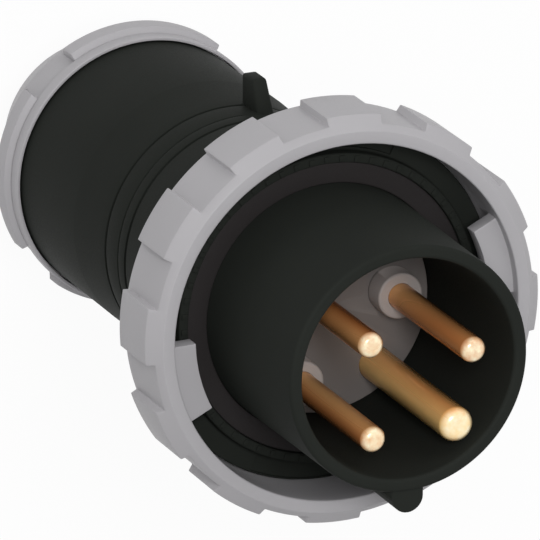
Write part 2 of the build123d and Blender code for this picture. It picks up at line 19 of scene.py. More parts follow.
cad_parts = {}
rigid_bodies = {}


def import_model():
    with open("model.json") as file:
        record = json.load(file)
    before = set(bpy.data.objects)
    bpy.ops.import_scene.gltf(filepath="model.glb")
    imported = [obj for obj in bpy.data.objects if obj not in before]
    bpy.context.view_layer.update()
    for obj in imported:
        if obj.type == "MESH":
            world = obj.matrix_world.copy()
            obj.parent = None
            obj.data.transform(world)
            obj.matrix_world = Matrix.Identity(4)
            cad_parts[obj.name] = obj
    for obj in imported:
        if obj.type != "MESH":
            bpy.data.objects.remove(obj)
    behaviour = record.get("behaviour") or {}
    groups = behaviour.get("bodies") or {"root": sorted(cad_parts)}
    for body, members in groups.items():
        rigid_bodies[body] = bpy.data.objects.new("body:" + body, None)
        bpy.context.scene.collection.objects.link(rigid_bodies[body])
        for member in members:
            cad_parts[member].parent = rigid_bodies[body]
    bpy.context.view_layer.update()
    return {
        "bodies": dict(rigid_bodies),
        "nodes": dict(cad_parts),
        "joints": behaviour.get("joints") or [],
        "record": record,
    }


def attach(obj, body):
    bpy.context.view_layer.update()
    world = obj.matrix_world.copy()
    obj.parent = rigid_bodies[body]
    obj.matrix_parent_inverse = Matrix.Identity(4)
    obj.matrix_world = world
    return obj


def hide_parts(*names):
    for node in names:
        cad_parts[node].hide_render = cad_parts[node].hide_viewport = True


LOG = logging.getLogger("plug")
MM = 0.001
FULL_TURN = 360
MERGE_DISTANCE = 0.002 * MM
AXIS_RADIUS = 0.01      # a closed outline starts this close beside the axis, in millimetres
NEAR = 0.05             # how near a point counts as lying in a plane, in millimetres
WALL_MARGIN = 0.2       # the same for a face on a round wall
CREST_MARGIN = 0.3      # the same for a point on the crest of a pad or lobe
CORNER_MARGIN = 0.1     # the same for a corner of a block
FRONT_LIMIT = -0.99     # a face looks forwards when its normal's Y is below this
SIDEWAYS_LIMIT = 0.1    # a face looks sideways when its normal's Y is nearer to 0 than this
STANDING_TURN = -pi / 2

Piece = bpy.types.Object
Socket = bpy.types.NodeSocket
Triple = tuple[float, float, float]
Outline = Sequence[tuple[float, float]]
Colour = Triple | Socket
FaceTest = Callable[[Vector, Vector], bool]
PointTest = Callable[[Vector], bool]


class Lay(Enum):
    """How a metal's marks run: fine marks and tarnish patches per metre, along X, Y and Z."""

    EVEN = ((1500, 1500, 1500), (130, 130, 130))
    ROUND_THE_AXIS = ((90, 90, 3400), (150, 150, 12))


class Body(Enum):
    """The bodies that the new pieces ride on."""

    BODY = "body"
    RING = "ring"
    NUT = "nut"


@dataclass(frozen=True)
class MouldedPlastic:
    """Moulded plastic: a base colour with a little cloudiness and a fine grain.

    Attributes:
        name: the material's name.
        colour: linear red, green and blue.
        roughness: mean roughness of the skin.
        cloud: how far the colour drifts from its mean, as a share.
        grain: size of the fine grain, in millimetres.
        relief: height of the grain, in millimetres.
        gloss: strength of the skin's reflection, 0.5 being usual.
        paler_from: height from which raised parts are painted paler, as painted light standing in for the
            light that they catch, in millimetres.
        paler_within: height over which they turn paler, in millimetres.
        paler_by: how much paler they are.
        clouds: cloudy patches per metre.
        drift: how far the roughness drifts from its mean.
    """

    name: str
    colour: Triple
    roughness: float = 0.5
    cloud: float = 0.12
    grain: float = 0.35
    relief: float = 0.012
    gloss: float = 0.4
    paler_from: float | None = None
    paler_within: float = 0.6
    paler_by: float = 2.3
    clouds: float = 28.0
    drift: float = 0.06

    def material(self) -> bpy.types.Material:
        """Make the material.

        Returns:
            The finished material.
        """
        wiring = Wiring(self.name)
        place = wiring.object_place()
        slow = wiring.noise(place, scale=self.clouds, detail=3.0)
        fine = wiring.noise(place, scale=1.0 / (self.grain * MM), detail=2.0)
        dark = tuple(c * (1 - self.cloud) for c in self.colour)
        pale = tuple(min(1.0, c * (1 + self.cloud)) for c in self.colour)
        colour = wiring.colour_between(wiring.spread(slow, 0.0, 1.0), dark, pale)
        # Painted light: raised parts, such as the insert's collars, are made paler to stand in for the light
        # that they catch.
        if self.paler_from is not None:
            ramp = wiring.towards_the_face(self.paler_from, self.paler_from + self.paler_within)
            wiring.colour_between(ramp, colour, tuple(c * self.paler_by for c in self.colour))
        wiring.roughness_between(fine, self.roughness - self.drift, self.roughness + self.drift)
        wiring.bump(fine, self.relief)
        wiring.shader.inputs["Specular IOR Level"].default_value = self.gloss
        return wiring.material


@dataclass(frozen=True)
class SoftRubber:
    """Moulded rubber: dull, with a fine powdery speckle.

    Attributes:
        name: the material's name.
        colour: linear red, green and blue.
        roughness: mean roughness.
        drift: how far the roughness drifts from its mean.
        speckles: specks per metre.
        paler_by: how much paler the specks are.
        relief: height of the specks, in millimetres.
        gloss: strength of the skin's reflection, 0.5 being usual.
    """

    name: str
    colour: Triple
    roughness: float = 0.8
    drift: float = 0.08
    speckles: float = 1800.0
    paler_by: float = 1.9
    relief: float = 0.03
    gloss: float = 0.35

    def material(self) -> bpy.types.Material:
        """Make the material.

        Returns:
            The finished material.
        """
        wiring = Wiring(self.name)
        place = wiring.object_place()
        speckle = wiring.noise(place, scale=self.speckles, detail=4.0)
        pale = tuple(c * self.paler_by for c in self.colour)
        wiring.colour_between(wiring.spread(speckle, 0.0, 1.0), self.colour, pale)
        wiring.roughness_between(speckle, self.roughness - self.drift, self.roughness + self.drift)
        wiring.bump(speckle, self.relief)
        wiring.shader.inputs["Specular IOR Level"].default_value = self.gloss
        return wiring.material


@dataclass(frozen=True)
class TurnedMetal:
    """Turned metal: bright, with fine rings round the piece, a faint tarnish and, where asked, a painted
    highlight at its end.

    Attributes:
        name: the material's name.
        colour: linear red, green and blue of the bright metal.
        tarnish: linear red, green and blue of the dulled patches.
        roughness: mean roughness.
        drift: how far the roughness drifts down and up from its mean.
        lay: how the marks and patches run.
        sheen: how far it shows as bare metal where it faces the eye, from 0 to 1.
        painted_highlight_from: height from which the end gets a painted highlight, in millimetres.
        painted_highlight: linear red, green and blue of that painted highlight.
        painted_highlight_within: height over which the painted highlight comes in, in millimetres.
        highlight_spots: spots per metre that mottle the painted highlight.
        least_highlight: how strong the painted highlight is between those spots, from 0 to 1.
        mark_depth: how strongly the fine marks darken the metal, from 0 to 1.
        mark_shade: their colour as a share of the tarnish.
        mark_relief: their height, in millimetres.
    """

    name: str
    colour: Triple
    tarnish: Triple
    roughness: float = 0.28
    drift: tuple[float, float] = (0.04, 0.06)
    lay: Lay = Lay.ROUND_THE_AXIS
    sheen: float = 1.0
    painted_highlight_from: float | None = None
    painted_highlight: Triple = (0.98, 0.88, 0.62)
    painted_highlight_within: float = 1.6
    highlight_spots: float = 620.0
    least_highlight: float = 0.35
    mark_depth: float = 0.05
    mark_shade: float = 0.62
    mark_relief: float = 0.0004

    def material(self) -> bpy.types.Material:
        """Make the material.

        Returns:
            The finished material.
        """
        wiring = Wiring(self.name)
        marks_per_metre, patches_per_metre = self.lay.value
        marks = wiring.noise(wiring.object_place(marks_per_metre), scale=1.0, detail=2.0)
        patches = wiring.noise(wiring.object_place(patches_per_metre), scale=1.0, detail=0.0)
        colour = wiring.colour_between(wiring.spread(patches, 0.0, 1.0), self.tarnish, self.colour)
        darker = tuple(c * self.mark_shade for c in self.tarnish)
        colour = wiring.colour_between(wiring.spread(marks, self.mark_depth, 0.0), colour, darker)
        # Painted highlight: towards the mating face, the pin's end is coloured bright and mottled by spots.
        # This stands in for the light's highlight on its tip.
        if self.painted_highlight_from is not None:
            ramp = wiring.towards_the_face(self.painted_highlight_from, self.painted_highlight_from + self.painted_highlight_within)
            spots = wiring.noise(wiring.object_place(), self.highlight_spots, detail=2.0)
            mottled_highlight = wiring.spread(spots, self.least_highlight, 1.0)
            wiring.colour_between(wiring.product(ramp, mottled_highlight), colour, self.painted_highlight)
        wiring.roughness_between(patches, self.roughness - self.drift[0], self.roughness + self.drift[1])
        wiring.bump(marks, self.mark_relief)
        if self.sheen < 1:
            wiring.metal_at_the_edges(self.sheen)
        else:
            wiring.shader.inputs["Metallic"].default_value = 1.0
        return wiring.material


class Wiring:
    """A material's nodes, joined up step by step."""

    MIDDLE_RANGE = (0.3, 0.7)       # where most of a noise pattern lies
    EDGE_RANGE = (0.35, 0.85)       # facing values between face-on and edge-on
    BUMP_STRENGTH = 0.6

    def __init__(self, name: str) -> None:
        """Start a material with its shader.

        Args:
            name: the material's name.
        """
        self.material = bpy.data.materials.new(name)
        self.material.use_nodes = True
        self.nodes = self.material.node_tree.nodes
        self.links = self.material.node_tree.links
        self.shader = self.nodes["Principled BSDF"]

    def object_place(self, stretch: Triple = (1.0, 1.0, 1.0)) -> Socket:
        """Give the point on the piece, stretched along each axis.

        Args:
            stretch: factor along X, Y and Z.

        Returns:
            A vector socket.
        """
        place = self.nodes.new("ShaderNodeTexCoord")
        mapping = self.nodes.new("ShaderNodeMapping")
        mapping.inputs["Scale"].default_value = stretch
        self.links.new(place.outputs["Object"], mapping.inputs["Vector"])
        return mapping.outputs["Vector"]

    def noise(self, place: Socket, scale: float, detail: float) -> Socket:
        """Give a noise pattern.

        Args:
            place: the point to read the pattern at.
            scale: patches per metre.
            detail: octaves of the pattern.

        Returns:
            A value socket from 0 to 1.
        """
        noise = self.nodes.new("ShaderNodeTexNoise")
        noise.inputs["Scale"].default_value = scale
        noise.inputs["Detail"].default_value = detail
        self.links.new(place, noise.inputs["Vector"])
        return noise.outputs["Fac"]

    def spread(self, value: Socket, low: float, high: float,
               reach: tuple[float, float] = MIDDLE_RANGE) -> Socket:
        """Stretch part of a value's range over two limits, and hold it there beyond.

        Args:
            value: the value.
            low: what the part's lower end becomes.
            high: what its upper end becomes.
            reach: the part, or else a noise pattern's middle range.

        Returns:
            A value socket.
        """
        node = self.nodes.new("ShaderNodeMapRange")
        for name, limit in zip(("From Min", "From Max", "To Min", "To Max"), (*reach, low, high)):
            node.inputs[name].default_value = limit
        self.links.new(value, node.inputs["Value"])
        return node.outputs["Result"]

    def colour_between(self, share: Socket, dark: Colour, pale: Colour) -> Socket:
        """Mix two colours and give the mixture to the shader.

        Args:
            share: how much of the pale colour shows, from 0 to 1.
            dark: colour at 0, or a socket that gives it.
            pale: colour at 1, or a socket that gives it.

        Returns:
            The mixed colour, to mix further.
        """
        mix = self.nodes.new("ShaderNodeMix")
        mix.data_type = "RGBA"
        for name, colour in (("A", dark), ("B", pale)):
            if isinstance(colour, Socket):
                self.links.new(colour, mix.inputs[name])
            else:
                mix.inputs[name].default_value = (*colour, 1.0)
        self.links.new(share, mix.inputs["Factor"])
        self.links.new(mix.outputs["Result"], self.shader.inputs["Base Color"])
        return mix.outputs["Result"]

    def metal_at_the_edges(self, least: float) -> None:
        """Let the bare metal's gloss take over where the surface turns away.

        Args:
            least: how metallic the surface is where it faces the eye.
        """
        weight = self.nodes.new("ShaderNodeLayerWeight")
        weight.inputs["Blend"].default_value = 0.5
        metallic = self.spread(weight.outputs["Facing"], least, 1.0, self.EDGE_RANGE)
        self.links.new(metallic, self.shader.inputs["Metallic"])

    def product(self, first: Socket, second: Socket) -> Socket:
        """Multiply two values.

        Args:
            first: the first value.
            second: the second value.

        Returns:
            A value socket.
        """
        times = self.nodes.new("ShaderNodeMath")
        times.operation = "MULTIPLY"
        self.links.new(first, times.inputs[0])
        self.links.new(second, times.inputs[1])
        return times.outputs["Value"]

    def towards_the_face(self, start: float, end: float) -> Socket:
        """Give a ramp along the standing plug, towards its mating face.

        Args:
            start: height where the ramp begins, in millimetres.
            end: height where it ends.

        Returns:
            A value socket from 0 to 1.
        """
        split = self.nodes.new("ShaderNodeSeparateXYZ")
        self.links.new(self.object_place(), split.inputs["Vector"])
        return self.spread(split.outputs["Z"], 0.0, 1.0, (start * MM, end * MM))

    def roughness_between(self, value: Socket, smooth: float, rough: float) -> None:
        """Set the shader's roughness between two values.

        Args:
            value: the pattern that mixes them.
            smooth: roughness where the pattern is low.
            rough: roughness where the pattern is high.
        """
        self.links.new(self.spread(value, smooth, rough), self.shader.inputs["Roughness"])

    def bump(self, value: Socket, height: float) -> None:
        """Raise the surface with a pattern.

        Args:
            value: the pattern.
            height: its height, in millimetres.
        """
        bump = self.nodes.new("ShaderNodeBump")
        bump.inputs["Strength"].default_value = self.BUMP_STRENGTH
        bump.inputs["Distance"].default_value = height * MM
        self.links.new(value, bump.inputs["Height"])
        self.links.new(bump.outputs["Normal"], self.shader.inputs["Normal"])


HOUSING = MouldedPlastic("housing_plastic", (0.0185, 0.0205, 0.0180), roughness=0.55, cloud=0.08, gloss=0.02)
GRIP = MouldedPlastic("grip_plastic", (0.385, 0.375, 0.39), roughness=0.5, cloud=0.03)
# The insert's collars get a paler colour from paler_from up, which is painted light.
INSERT = MouldedPlastic("insert_plastic", (0.145, 0.130, 0.124), roughness=0.5, cloud=0.05, paler_from=-45.8)
CARRIER = MouldedPlastic("carrier_plastic", (0.30, 0.30, 0.30), roughness=0.5, cloud=0.05)
GASKET = SoftRubber("gasket_rubber", (0.0068, 0.0053, 0.0054))
SEAL = SoftRubber("seal_rubber", (0.04, 0.04, 0.04))
# Both brasses paint a bright highlight on the pins' tips.
EARTH_BRASS = TurnedMetal("brass", (1.0, 0.66, 0.25), (0.98, 0.44, 0.14), roughness=0.26, sheen=0.1,
                          painted_highlight_from=-2.9)
LINE_BRASS = TurnedMetal("brass", (0.84, 0.46, 0.18), (0.64, 0.22, 0.065), roughness=0.26, sheen=0.1,
                         painted_highlight_from=-2.2)
STEEL = TurnedMetal("plated_steel", (0.62, 0.62, 0.64), (0.5, 0.5, 0.5), roughness=0.35, lay=Lay.EVEN)

Finish = MouldedPlastic | SoftRubber | TurnedMetal


class Dressing:
    """Makes each material once and puts it on pieces."""

    def __init__(self) -> None:
        """Start with no material made."""
        self.made: dict[Finish, bpy.types.Material] = {}

    def put(self, piece: Piece, finish: Finish) -> None:
        """Give a piece one finish all over.

        Args:
            piece: the piece.
            finish: its finish.
        """
        if finish not in self.made:
            self.made[finish] = finish.material()
        piece.data.materials.clear()
        piece.data.materials.append(self.made[finish])


def install(piece: Piece, node: str, body: Body, finish: Finish, dressing: Dressing) -> None:
    """Smooth a shaped piece, stand it up, dress it and put it in its node's place.

    Args:
        piece: the piece, shaped along Y.
        node: the node that it stands for.
        body: the body that it rides on.
        finish: its finish.
        dressing: the materials.
    """
    smooth(piece)
    piece.rotation_euler = (STANDING_TURN, 0, 0)
    bpy.ops.object.transform_apply(location=True, rotation=True, scale=True)
    dressing.put(piece, finish)
    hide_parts(node)
    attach(piece, body.value)
    LOG.info("%s built", node)


def radius_of(point: Vector) -> float:
    """Give a point's distance from the axis.

    Args:
        point: the point.

    Returns:
        The distance, in the point's own unit.
    """
    return hypot(point.x, point.z)


@dataclass(frozen=True)
class Sectors:
    """Equal sectors, spaced evenly round the axis.

    Attributes:
        count: how many there are.
        span: each one's width, in degrees.
        middle: the middle of one of them, in degrees from +X towards +Z.
    """

    count: int
    span: float
    middle: float

    def hold(self, point: Vector) -> bool:
        """Say whether a point lies in one of them.

        Args:
            point: the point.

        Returns:
            True if it does.
        """
        pitch = FULL_TURN / self.count
        sideways = (degrees(atan2(point.z, point.x)) - self.middle) % pitch
        return min(sideways, pitch - sideways) < self.span / 2


def softened(outline: Outline, rounds: dict[int, float], steps: int = 5) -> list[tuple[float, float]]:
    """Round some corners of a closed outline.

    Args:
        outline: corners as (radius, y) pairs.
        rounds: radius of the arc at each corner, by the corner's index.
        steps: straight steps in each arc.

    Returns:
        The outline with its arcs.
    """
    points: list[tuple[float, float]] = []
    for index, corner in enumerate(outline):
        radius = rounds.get(index)
        if not radius:
            points.append(corner)
            continue
        here = Vector(corner)
        before = (Vector(outline[index - 1]) - here).normalized()
        after = (Vector(outline[(index + 1) % len(outline)]) - here).normalized()
        half = before.angle(after) / 2
        centre = here + (before + after).normalized() * radius / sin(half)
        start = here + before * radius / tan(half) - centre
        end = here + after * radius / tan(half) - centre
        for step in range(steps + 1):
            share = step / steps
            swing = sin((1 - share) * (pi - 2 * half)), sin(share * (pi - 2 * half))
            arm = (start * swing[0] + end * swing[1]) / sin(pi - 2 * half)
            points.append(tuple(centre + arm))
    return points


def clear_selection() -> None:
    """Deselect every object, so that operators touch only the next piece."""
    bpy.ops.object.select_all(action="DESELECT")


def work_on(piece: Piece) -> None:
    """Select one piece alone and make it active.

    Args:
        piece: the piece.
    """
    clear_selection()
    piece.select_set(True)
    bpy.context.view_layer.objects.active = piece


def pick_faces(piece: Piece, test: FaceTest) -> int:
    """Select faces by their place and direction, in edit mode.

    Args:
        piece: the piece in edit mode.
        test: takes a face's centre in millimetres and its normal.

    Returns:
        How many faces are selected.
    """
    bpy.ops.mesh.select_mode(type="FACE")
    bpy.ops.mesh.select_all(action="DESELECT")
    mesh = bmesh.from_edit_mesh(piece.data)
    picked = [face for face in mesh.faces if test(face.calc_center_median() / MM, face.normal)]
    for face in picked:
        face.select_set(True)
    bmesh.update_edit_mesh(piece.data)
    return len(picked)


def turned(name: str, outline: Outline, steps: int = FULL_TURN) -> Piece:
    """Spin a closed outline about the axis.

    Args:
        name: the piece's name.
        outline: corners as (radius, y) pairs.
        steps: steps round the full turn.

    Returns:
        The turned piece.
    """
    clear_selection()
    bpy.ops.mesh.primitive_plane_add(size=MM)
    piece = bpy.context.object
    piece.name = name
    bpy.ops.object.mode_set(mode="EDIT")
    bpy.ops.mesh.select_mode(type="VERT")
    bpy.ops.mesh.select_all(action="SELECT")
    bpy.ops.mesh.merge(type="CENTER")
    bpy.ops.transform.translate(value=(outline[0][0] * MM, outline[0][1] * MM, 0))
    here = Vector(outline[0])
    for corner in (*outline[1:], outline[0]):
        step = Vector(corner) - here
        bpy.ops.mesh.extrude_region_move(TRANSFORM_OT_translate={"value": (step.x * MM, step.y * MM, 0)})
        here = Vector(corner)
    bpy.ops.mesh.select_all(action="SELECT")
    bpy.ops.mesh.remove_doubles(threshold=MERGE_DISTANCE)
    bpy.ops.mesh.select_all(action="SELECT")
    bpy.ops.mesh.spin(steps=steps, angle=2 * pi, center=(0, 0, 0), axis=(0, 1, 0))
    close_up()
    bpy.ops.object.mode_set(mode="OBJECT")
    return piece


def close_up() -> None:
    """Merge the seams of the shape in edit mode and turn its faces outwards."""
    bpy.ops.mesh.select_all(action="SELECT")
    bpy.ops.mesh.remove_doubles(threshold=MERGE_DISTANCE)
    bpy.ops.mesh.normals_make_consistent(inside=False)


def raise_faces(piece: Piece, test: FaceTest, height: float) -> None:
    """Raise picked faces along their normals, with walls at their edges.

    Args:
        piece: the piece.
        test: picks the faces.
        height: how far they rise, in millimetres.
    """
    work_on(piece)
    bpy.ops.object.mode_set(mode="EDIT")
    if pick_faces(piece, test):
        bpy.ops.mesh.extrude_region_shrink_fatten(TRANSFORM_OT_shrink_fatten={"value": height * MM})
    bpy.ops.object.mode_set(mode="OBJECT")


def raise_front(piece: Piece, station: float, inner: float, sectors: Sectors, height: float) -> None:
    """Raise sectors of a flat ring that looks forwards, or sink them.

    Args:
        piece: the piece.
        station: the ring's place on Y.
        inner: its inner radius.
        sectors: the sectors.
        height: how far they rise, below 0 to sink.
    """
    raise_faces(piece, lambda c, n: n.y < FRONT_LIMIT and abs(c.y - station) < NEAR
                and radius_of(c) > inner and sectors.hold(c), height)


def raise_wall(piece: Piece, radius: float, start: float, end: float, sectors: Sectors,
               height: float) -> None:
    """Raise sectors of a round wall, out of the side that it shows.

    Args:
        piece: the piece.
        radius: the wall's radius.
        start: where on Y the part that rises begins.
        end: where it ends.
        sectors: the sectors.
        height: how far they rise.
    """
    raise_faces(piece, lambda c, n: abs(n.y) < SIDEWAYS_LIMIT and abs(radius_of(c) - radius) < WALL_MARGIN
                and start < c.y < end and sectors.hold(c), height)


def shift_points(piece: Piece, test: PointTest, move: Triple) -> None:
    """Move picked points together.

    Args:
        piece: the piece.
        test: takes a point in millimetres.
        move: how far, in millimetres.
    """
    work_on(piece)
    bpy.ops.object.mode_set(mode="EDIT")
    bpy.ops.mesh.select_mode(type="VERT")
    bpy.ops.mesh.select_all(action="DESELECT")
    mesh = bmesh.from_edit_mesh(piece.data)
    for vertex in mesh.verts:
        if test(vertex.co / MM):
            vertex.select_set(True)
    bmesh.update_edit_mesh(piece.data)
    bpy.ops.transform.translate(value=Vector(move) * MM)
    bpy.ops.object.mode_set(mode="OBJECT")


def shift_crest(piece: Piece, crest: float, station: float, move: float) -> None:
    """Move the points of raised crests at one station, along the axis.

    Args:
        piece: the piece.
        crest: the crests' radius.
        station: where on Y the points are.
        move: how far they move.
    """
    shift_points(piece, lambda v: radius_of(v) > crest - CREST_MARGIN and abs(v.y - station) < NEAR,
                 (0, move, 0))


def ease_edges(piece: Piece, width: float, limit: float = 40.0, segments: int = 2) -> None:
    """Bevel a piece's sharp edges, so that they catch the light.

    Args:
        piece: the piece.
        width: the bevel's width, in millimetres.
        limit: the least turn of a sharp edge, in degrees.
        segments: steps across the bevel.
    """
    work_on(piece)
    bevel = piece.modifiers.new("eased", "BEVEL")
    bevel.width = width * MM
    bevel.segments = segments
    bevel.limit_method = "ANGLE"
    bevel.angle_limit = radians(limit)
    bpy.ops.object.modifier_apply(modifier=bevel.name)


def combine(piece: Piece, other: Piece, operation: str) -> None:
    """Join another piece to a piece, or cut it out, and use it up.

    Args:
        piece: the piece that stays.
        other: the piece that is used up.
        operation: UNION or DIFFERENCE.
    """
    work_on(piece)
    boolean = piece.modifiers.new("joined", "BOOLEAN")
    boolean.operation = operation
    boolean.object = other
    boolean.solver = "EXACT"
    bpy.ops.object.modifier_apply(modifier=boolean.name)
    bpy.data.objects.remove(other)


def smooth(piece: Piece, limit: float = 32.0) -> None:
    """Shade a piece smoothly, but for its sharp edges.

    Args:
        piece: the piece.
        limit: the least turn of a sharp edge, in degrees.
    """
    work_on(piece)
    bpy.ops.object.shade_smooth_by_angle(angle=radians(limit))


def rod(name: str, radius: float, start: float, end: float, x: float, z: float, sides: int = 96) -> Piece:
    """Make a round bar along the plug's axis.

    Args:
        name: the piece's name.
        radius: the bar's radius.
        start: its first station on Y.
        end: its last station on Y.
        x: its centre on X.
        z: its centre on Z.
        sides: sides round the bar.

    Returns:
        The bar.
    """
    clear_selection()
    place = Vector((x, (start + end) / 2, z)) * MM
    bpy.ops.mesh.primitive_cylinder_add(vertices=sides, radius=radius * MM, depth=(end - start) * MM,
                                        location=place, rotation=(pi / 2, 0, 0))
    piece = bpy.context.object
    piece.name = name
    bpy.ops.object.transform_apply(location=True, rotation=True, scale=True)
    return piece


def block(name: str, low: Triple, high: Triple) -> Piece:
    """Make a block between two corners.

    Args:
        name: the piece's name.
        low: its lowest corner.
        high: its highest corner.

    Returns:
        The block.
    """
    clear_selection()
    middle = (Vector(low) + Vector(high)) / 2 * MM
    bpy.ops.mesh.primitive_cube_add(size=1.0, location=middle, scale=(Vector(high) - Vector(low)) * MM)
    piece = bpy.context.object
    piece.name = name
    bpy.ops.object.transform_apply(location=True, rotation=True, scale=True)
    return piece


def shift_piece(piece: Piece, x: float, z: float) -> None:
    """Move a piece across the axis and keep its place in its mesh.

    Args:
        piece: the piece.
        x: move along X.
        z: move along Z.
    """
    work_on(piece)
    bpy.ops.transform.translate(value=(x * MM, 0, z * MM))
    bpy.ops.object.transform_apply(location=True, rotation=True, scale=True)


@dataclass
class FrontHousing:
    """The black sleeve with its key rib, flange, seal rim and front half of the body."""

    sleeve_radius: float = 28.5
    root_radius: float = 29.1
    bore_radius: float = 25.4
    rim_round: float = 0.9
    flange_front: float = 46.5
    flange_back: float = 48.8
    flange_radius: float = 41.25
    step_depth: float = 0.8
    steps: Sectors = Sectors(count=2, span=60.0, middle=94.0)
    seal_rim_outer: float = 36.3
    seal_rim_inner: float = 34.1
    seal_rim_height: float = 3.0
    studs: Sectors = Sectors(count=60, span=2.0, middle=1.0)
    stud_height: float = 0.3
    body_radius: float = 30.6
    body_bore: float = 27.2
    seam: float = 92.5
    groove: float = 87.9
    groove_width: float = 1.0
    groove_depth: float = 0.4
    shoulder: float = 50.0
    key_half_width: float = 3.7
    key_tip: float = 33.6
    key_start: float = 0.6
    gasket_front: float = 44.3
    gasket_gap: float = 0.1
    key_sink: float = 1.5
    key_ease: float = 0.7
    edge_ease: float = 0.12

    def build(self, dressing: Dressing) -> None:
        """Build the housing and its gasket.

        Args:
            dressing: the materials.
        """
        install(self.shell(), "front_housing", Body.BODY, HOUSING, dressing)
        install(self.gasket(), "face_gasket", Body.BODY, GASKET, dressing)

    def shell(self) -> Piece:
        """Turn the shell and add what isn't round.

        Returns:
            The housing.
        """
        rim_top = self.flange_front - self.seal_rim_height
        low = self.body_radius - self.groove_depth
        outline = [
            (self.bore_radius, 0), (self.sleeve_radius, 0), (self.root_radius, self.flange_front),
            (self.seal_rim_inner, self.flange_front), (self.seal_rim_inner, rim_top),
            (self.seal_rim_outer, rim_top), (self.seal_rim_outer, self.flange_front),
            (self.flange_radius, self.flange_front), (self.flange_radius, self.flange_back),
            (self.body_radius, self.flange_back), (self.body_radius, self.groove), (low, self.groove),
            (low, self.groove + self.groove_width), (self.body_radius, self.groove + self.groove_width),
            (self.body_radius, self.seam), (self.body_bore, self.seam), (self.body_bore, self.shoulder),
            (self.bore_radius, self.shoulder),
        ]
        rounds = {0: self.rim_round, 1: self.rim_round, 4: 0.3, 5: 0.5, 6: 0.6, 7: 0.4, 8: 0.3, 10: 0.15,
                  13: 0.15, 14: 0.35}
        shell = turned("front_housing_shell", softened(outline, rounds))
        raise_front(shell, rim_top, self.seal_rim_inner, self.studs, self.stud_height)
        raise_front(shell, self.flange_front, self.seal_rim_outer, self.steps, -self.step_depth)
        ease_edges(shell, self.edge_ease)
        combine(shell, self.key(), "UNION")
        return shell

    def key(self) -> Piece:
        """Make the rib under the sleeve, rounded at its crest and its front.

        Returns:
            The rib.
        """
        end = self.flange_front - self.seal_rim_height
        crest_z = -(self.key_tip - self.key_half_width)
        crest = rod("key_crest", self.key_half_width, self.key_start, end, 0, crest_z, sides=64)
        web = block("key_web", (-self.key_half_width, self.key_start, crest_z),
                    (self.key_half_width, end, -(self.sleeve_radius - self.key_sink)))
        combine(crest, web, "UNION")
        ease_edges(crest, self.key_ease, limit=60.0, segments=4)
        return crest

    def gasket(self) -> Piece:
        """Make the flat rubber ring in the seal rim.

        Returns:
            The gasket.
        """
        inner, outer = self.root_radius + self.gasket_gap, self.seal_rim_inner - self.gasket_gap
        outline = [(inner, self.gasket_front), (outer, self.gasket_front), (outer, self.flange_front),
                   (inner, self.flange_front)]
        return turned("face_gasket_ring", softened(outline, {0: 0.3, 1: 0.3}, steps=4), steps=240)


@dataclass
class LockingRing:
    """The grey bayonet ring: grip pads outside and two lugs inside."""

    front: float = 33.0
    back: float = 51.55
    bore_radius: float = 41.6
    radius: float = 46.0
    chamfer: float = 1.5
    pad_radius: float = 47.8
    pads: Sectors = Sectors(count=12, span=16.0, middle=-3.0)
    pad_lean: float = 1.2
    pad_back: float = 50.8
    pad_back_lean: float = 0.5
    lip_radius: float = 30.95
    lip_front: float = 49.15
    lug_front: float = 35.5
    lug_back: float = 39.3
    lug_radius: float = 35.6
    lugs: Sectors = Sectors(count=2, span=26.0, middle=14.0)
    edge_ease: float = 0.22

    def build(self, dressing: Dressing) -> None:
        """Build the ring.

        Args:
            dressing: the materials.
        """
        install(self.shape(), "locking_ring", Body.RING, GRIP, dressing)

    def shape(self) -> Piece:
        """Turn the ring, then raise its pads and lugs.

        Returns:
            The ring.
        """
        pad_front = self.front + self.chamfer
        outline = [
            (self.bore_radius, self.front), (self.radius - self.chamfer, self.front),
            (self.radius, pad_front), (self.radius, self.pad_back), (self.radius, self.back),
            (self.lip_radius, self.back), (self.lip_radius, self.lip_front),
            (self.bore_radius, self.lip_front), (self.bore_radius, self.lug_back),
            (self.bore_radius, self.lug_front),
        ]
        rounds = {0: 0.4, 1: 0.35, 4: 0.4, 5: 0.3, 7: 0.5}
        ring = turned("locking_ring_body", softened(outline, rounds, steps=4))
        raise_wall(ring, self.radius, pad_front, self.pad_back, self.pads, self.pad_radius - self.radius)
        lug_height = self.bore_radius - self.lug_radius
        raise_wall(ring, self.bore_radius, self.lug_front, self.lug_back, self.lugs, lug_height)
        shift_crest(ring, self.pad_radius, pad_front, self.pad_lean)
        shift_crest(ring, self.pad_radius, self.pad_back, -self.pad_back_lean)
        ease_edges(ring, self.edge_ease)
        return ring


@dataclass(frozen=True)
class PinSize:
    """The radii of a pin, its barrel and its wire hole, and its tip's station and rounding."""

    radius: float
    barrel: float
    wire: float
    tip: float
    tip_round: float


